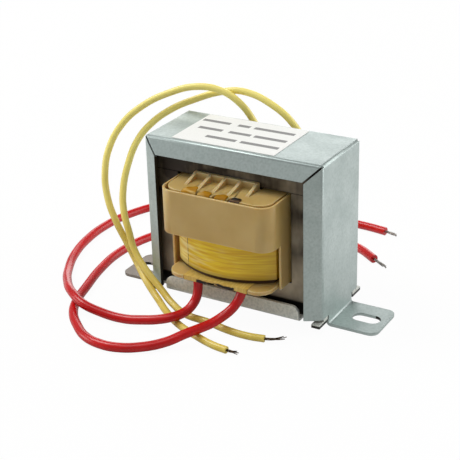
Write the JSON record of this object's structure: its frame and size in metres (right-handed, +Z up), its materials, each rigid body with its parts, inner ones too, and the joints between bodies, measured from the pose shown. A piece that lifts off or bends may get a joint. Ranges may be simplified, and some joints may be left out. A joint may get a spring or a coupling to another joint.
{
  "type": "transformer",
  "caption": "Chassis-mount mains transformer: laminated core in a folded steel frame with slotted feet, moulded bobbin with cover, taped windings and flying leads.",
  "frame": {"origin": "centre of the object without its leads, on the underside of the feet", "axes": "+X to the right along the line through both feet, +Y to the rear, where the yellow leads come out, +Z up"},
  "size_m": [0.0972, 0.0952, 0.0509],
  "materials": {
    "zinc_plated_steel": "zinc-plated sheet, satin, with bright cut edges",
    "core_steel": "varnished electrical sheet, dull brown-grey",
    "nylon": "natural nylon, slightly translucent",
    "enamelled_copper": "enamelled copper wire",
    "polyester_tape": "thin yellow film tape, glossy",
    "label_paper": "white matt label",
    "red_pvc": "soft red wire insulation",
    "yellow_pvc": "soft yellow wire insulation",
    "tinned_copper": "tinned strands"
  },
  "bodies": {
    "root": {"frame": "zinc_plated_steel", "base_plate": "zinc_plated_steel", "outer_e_sheets": "core_steel", "outer_i_sheets": "core_steel", "inner_e_sheets": "core_steel", "inner_i_sheets": "core_steel", "bobbin": "nylon", "cover": "nylon", "primary_winding": "enamelled_copper", "primary_tape": "polyester_tape", "secondary_winding": "enamelled_copper", "secondary_tape": "polyester_tape", "anchor_tape": "polyester_tape", "label": "label_paper", "red_left_lead": "red_pvc", "red_right_lead": "red_pvc", "yellow_left_lead": "yellow_pvc", "yellow_right_lead": "yellow_pvc", "red_left_strands": "tinned_copper", "red_right_strands": "tinned_copper", "yellow_left_strands": "tinned_copper", "yellow_right_strands": "tinned_copper"}
  },
  "joints": []
}
